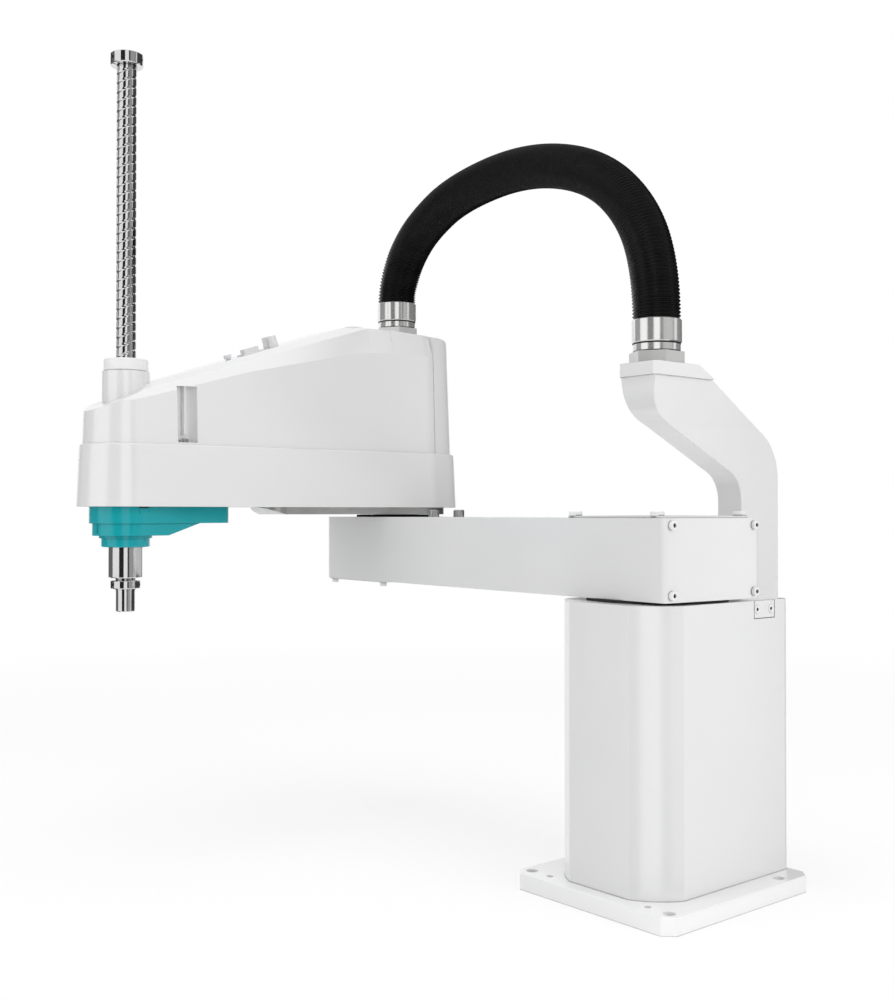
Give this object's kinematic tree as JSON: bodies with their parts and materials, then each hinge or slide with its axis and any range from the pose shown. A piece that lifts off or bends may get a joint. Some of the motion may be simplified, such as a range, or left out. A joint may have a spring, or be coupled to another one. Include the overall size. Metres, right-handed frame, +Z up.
{
  "type": "scara robot",
  "caption": "Four-axis SCARA robot arm with a bolted column base, two swinging arms, a gooseneck duct with a corrugated conduit and a hollow ball-screw-spline quill.",
  "frame": {"origin": "where the shoulder axis meets the underside of the base plate", "axes": "+X to the front of the base, +Y to its left, +Z up along the shoulder axis; the arms stand as pictured"},
  "size_m": [0.6994, 0.7609, 1.059],
  "materials": {
    "white_paint": "fine satin powder coat",
    "white_moulding": "smooth satin paint on moulded covers",
    "teal_moulding": "smooth semi-gloss",
    "polished_steel": "ground and polished",
    "cast_aluminium": "machined",
    "black_rubber": "matt",
    "black_conduit": "corrugated, satin",
    "black_motor": "satin",
    "black_moulding": "satin",
    "white_cap": "satin",
    "zinc_screws": "zinc plated",
    "blue_button": "satin"
  },
  "bodies": {
    "base": {"base_plate": "white_paint", "column_foot_screws": "zinc_screws", "base_column": "white_paint", "shoulder_stop_plate": "white_paint", "base_screws": "zinc_screws", "base_rear_cover": "white_paint", "power_connector": "black_moulding", "signal_connector": "black_moulding", "base_air_fittings": "polished_steel", "riser_duct": "white_paint", "duct_hex_base": "cast_aluminium", "shoulder_motor": "black_motor", "shoulder_reducer": "cast_aluminium", "shoulder_seal_ring": "black_rubber"},
    "inner_arm": {"shoulder_output_flange": "cast_aluminium", "arm_1_flange_screws": "zinc_screws", "arm_1_beam": "white_paint", "arm_1_end_cover": "white_paint", "arm_1_cover_screws": "white_cap", "arm_1_top_cover": "white_paint", "arm_1_bottom_cover": "white_paint", "elbow_output_flange": "cast_aluminium", "elbow_seal_ring": "black_rubber", "elbow_stop_bolts": "zinc_screws", "hose_conduit": "black_conduit", "duct_swivel": "polished_steel", "duct_gland_nut": "polished_steel", "elbow_swivel": "polished_steel", "elbow_gland_nut": "polished_steel"},
    "outer_arm": {"arm_2_frame": "cast_aluminium", "arm_2_lower_cover": "white_moulding", "arm_2_upper_cover": "white_moulding", "arm_2_rear_cover": "white_moulding", "arm_2_cover_screws": "zinc_screws", "shaft_guard_cap": "white_cap", "user_connector": "black_moulding", "user_air_fittings": "polished_steel", "elbow_hex_base": "cast_aluminium", "elbow_reducer": "cast_aluminium", "elbow_motor": "black_motor", "lift_motor": "black_motor", "lift_brake": "black_motor", "lift_belt": "black_rubber", "roll_motor": "black_motor", "roll_belt": "black_rubber", "quill_bearings": "polished_steel", "quill_housing": "teal_moulding", "quill_neck": "teal_moulding"},
    "brake_button": {"brake_release_button": "blue_button"},
    "lift_pulley": {"lift_motor_pulley": "cast_aluminium"},
    "roll_pulley": {"roll_motor_pulley": "cast_aluminium"},
    "spline_drive": {"spline_nut": "polished_steel", "spline_pulley": "cast_aluminium", "spline_sleeve": "polished_steel"},
    "ball_nut_drive": {"ball_nut": "polished_steel", "ball_nut_pulley": "cast_aluminium"},
    "quill": {"ball_screw_shaft": "polished_steel", "upper_stop_collar": "polished_steel", "lower_stop_collar": "polished_steel"}
  },
  "joints": [
    {"name": "j1_shoulder", "type": "hinge", "parent": "base", "child": "inner_arm", "pos_m": [0, 0, 0.35], "axis": [0, 0, 1], "range_deg": [-36.5, 223.5]},
    {"name": "j2_elbow", "type": "hinge", "parent": "inner_arm", "child": "outer_arm", "pos_m": [-0.03358, -0.54897, 0.445], "axis": [0, 0, 1], "range_deg": [-232.7, 47.3]},
    {"name": "j4_roll", "type": "hinge", "parent": "outer_arm", "child": "spline_drive", "pos_m": [0.41638, -0.55526, 0.44], "axis": [0, 0, 1], "range_deg": [-360, 360]},
    {"name": "j3_lift", "type": "slide", "parent": "spline_drive", "child": "quill", "axis": [0, 0, 1], "range_m": [-0.385, 0]},
    {"name": "ball_nut_spin", "type": "hinge", "parent": "spline_drive", "child": "ball_nut_drive", "pos_m": [0.41638, -0.55526, 0.54], "axis": [0, 0, 1], "range_deg": [-5600, 20]},
    {"name": "lift_pulley_spin", "type": "hinge", "parent": "outer_arm", "child": "lift_pulley", "pos_m": [0.1714, -0.55184, 0.566], "axis": [0, 0, 1], "range_deg": [-9100, 20]},
    {"name": "roll_pulley_spin", "type": "hinge", "parent": "outer_arm", "child": "roll_pulley", "pos_m": [0.28839, -0.55347, 0.446], "axis": [0, 0, 1], "range_deg": [-970, 970]},
    {"name": "brake_button_press", "type": "slide", "parent": "outer_arm", "child": "brake_button", "axis": [-0.3156, 0.0044, -0.9489], "range_m": [0, 0.002], "stiffness_N_per_m": 400, "springref_m": -0.002}
  ],
  "couplings": [
    {"joint": "ball_nut_spin", "follows": "j3_lift", "rad_per_m": 251.33},
    {"joint": "lift_pulley_spin", "follows": "j3_lift", "rad_per_m": 404.92},
    {"joint": "roll_pulley_spin", "follows": "j4_roll", "ratio": 2.6667}
  ]
}
